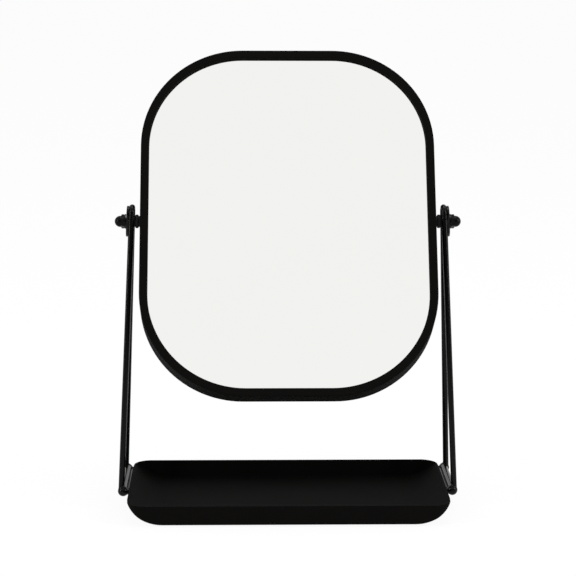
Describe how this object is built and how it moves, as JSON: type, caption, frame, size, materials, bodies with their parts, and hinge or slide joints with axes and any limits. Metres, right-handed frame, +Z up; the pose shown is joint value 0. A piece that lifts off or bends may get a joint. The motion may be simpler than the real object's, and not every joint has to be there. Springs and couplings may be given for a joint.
{
  "type": "vanity mirror with tray",
  "caption": "Rounded-rectangle table mirror in a black metal rim, tilting between two wire loops at the ends of an open accessory tray.",
  "frame": {"origin": "on the table, midway between the two loops and straight below the axis that the mirror tilts about", "axes": "+Z up, +X to the right of a person facing the glass, +Y away from that person"},
  "size_m": [0.2338, 0.1268, 0.3056],
  "materials": {
    "black_coat": "satin black powder coat",
    "black_steel": "blackened steel",
    "black_nylon": "matt",
    "pad_rubber": "matt",
    "silvered_glass": "polished",
    "grey_board": "matt",
    "black_fibreboard": "painted matt black"
  },
  "bodies": {
    "stand": {"tray_shell": "black_coat", "foot_pad_front_left": "pad_rubber", "foot_pad_front_right": "pad_rubber", "foot_pad_rear_left": "pad_rubber", "foot_pad_rear_right": "pad_rubber", "left_hairpin": "black_coat", "right_hairpin": "black_coat", "left_base_rod": "black_coat", "right_base_rod": "black_coat", "left_front_corner_ball": "black_coat", "left_rear_corner_ball": "black_coat", "right_front_corner_ball": "black_coat", "right_rear_corner_ball": "black_coat", "left_pivot_plate": "black_coat", "right_pivot_plate": "black_coat"},
    "mirror": {"mirror_rim": "black_coat", "mirror_glass": "silvered_glass", "packing_board": "grey_board", "back_plate": "black_fibreboard", "rim_lugs": "black_coat", "back_screws": "black_steel", "left_pivot_bolt": "black_steel", "right_pivot_bolt": "black_steel", "left_spacer_bush": "black_nylon", "right_spacer_bush": "black_nylon", "left_washer": "black_steel", "right_washer": "black_steel", "left_cap_nut": "black_steel", "right_cap_nut": "black_steel"}
  },
  "joints": [
    {"name": "mirror_tilt", "type": "hinge", "parent": "stand", "child": "mirror", "pos_m": [0, 0, 0.1944], "axis": [1, 0, 0], "continuous": true}
  ]
}
